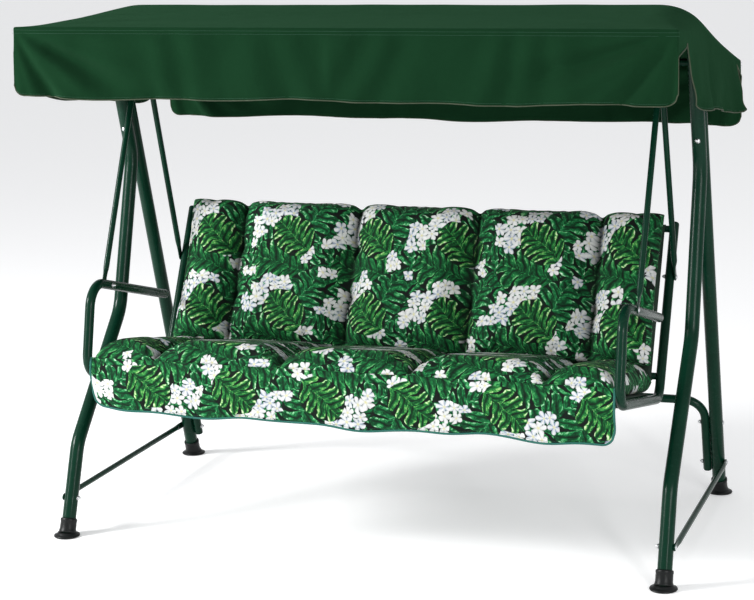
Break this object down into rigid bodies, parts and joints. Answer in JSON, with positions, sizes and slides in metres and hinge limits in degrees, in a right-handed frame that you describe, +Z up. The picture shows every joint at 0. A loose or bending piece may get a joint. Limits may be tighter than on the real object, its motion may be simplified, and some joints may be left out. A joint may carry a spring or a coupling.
{
  "type": "canopy swing bench",
  "caption": "Free-standing steel-tube swing bench: two bent-tube A-frames carry a cushioned hanging seat under a tilting cloth canopy.",
  "frame": {"origin": "on the floor, under the middle of the whole object's box", "axes": "+X along the bench, to the sitter's left; +Y to the back; +Z up"},
  "size_m": [2.3698, 1.3208, 1.8805],
  "materials": {
    "green_steel": "gloss dark green powder coat",
    "zinc": "bright zinc plate",
    "black_plastic": "semi-gloss moulded",
    "canopy_cloth": "coated satin woven polyester",
    "print_cloth": "cotton blend with a leaf and flower print",
    "sling_cloth": "coarse woven polyester"
  },
  "bodies": {
    "stand": {"front_leg_left": "green_steel", "front_leg_right": "green_steel", "rear_leg_left": "green_steel", "rear_leg_right": "green_steel", "top_bar": "green_steel", "rear_stretcher": "green_steel", "foot_front_left": "black_plastic", "foot_front_right": "black_plastic", "foot_rear_left": "black_plastic", "foot_rear_right": "black_plastic", "side_stay_left": "green_steel", "side_stay_right": "green_steel", "apex_bolt_low_left": "zinc", "apex_bolt_low_right": "zinc", "apex_bolt_high_left": "zinc", "apex_bolt_high_right": "zinc", "stay_bolt_front_left": "zinc", "stay_bolt_front_right": "zinc", "stay_bolt_rear_left": "zinc", "stay_bolt_rear_right": "zinc", "stretcher_bolt_left": "zinc", "stretcher_bolt_right": "zinc"},
    "canopy": {"canopy_clamp_left": "green_steel", "canopy_clamp_right": "green_steel", "canopy_arm_front_left": "green_steel", "canopy_arm_front_right": "green_steel", "canopy_arm_rear_left": "green_steel", "canopy_arm_rear_right": "green_steel", "canopy_bar_front": "green_steel", "canopy_bar_rear": "green_steel", "canopy_top": "canopy_cloth", "canopy_valance_front": "canopy_cloth", "canopy_valance_rear": "canopy_cloth", "canopy_valance_left": "canopy_cloth", "canopy_valance_right": "canopy_cloth"},
    "swing": {"side_frame_left": "green_steel", "side_frame_right": "green_steel", "seat_rail_front": "green_steel", "seat_rail_rear": "green_steel", "back_rail_low": "green_steel", "back_rail_top": "green_steel", "seat_support_bar": "green_steel", "seat_sling": "sling_cloth", "back_sling": "sling_cloth", "hanger_front_left": "green_steel", "hanger_front_right": "green_steel", "hanger_rear_left": "green_steel", "hanger_rear_right": "green_steel", "hanger_pivot_left": "zinc", "hanger_pivot_right": "zinc", "hanger_bolt_front_left": "zinc", "hanger_bolt_front_right": "zinc", "hanger_bolt_rear_left": "zinc", "hanger_bolt_rear_right": "zinc", "seat_cushion": "print_cloth", "back_cushion": "print_cloth", "seat_flap": "print_cloth"},
    "knob_left": {"canopy_knob_left": "black_plastic"},
    "knob_right": {"canopy_knob_right": "black_plastic"}
  },
  "joints": [
    {"name": "swing_hinge", "type": "hinge", "parent": "stand", "child": "swing", "pos_m": [0, 0.0046, 1.745], "axis": [1, 0, 0], "range_deg": [-20, 20]},
    {"name": "canopy_tilt", "type": "hinge", "parent": "stand", "child": "canopy", "pos_m": [0, 0.0046, 1.846], "axis": [1, 0, 0], "range_deg": [-8, 18]},
    {"name": "knob_left_turn", "type": "hinge", "parent": "canopy", "child": "knob_left", "pos_m": [-0.86, 0.0046, 1.797], "axis": [0, -1, 0], "range_deg": [0, 360]},
    {"name": "knob_right_turn", "type": "hinge", "parent": "canopy", "child": "knob_right", "pos_m": [0.86, 0.0046, 1.797], "axis": [0, -1, 0], "range_deg": [0, 360]}
  ]
}
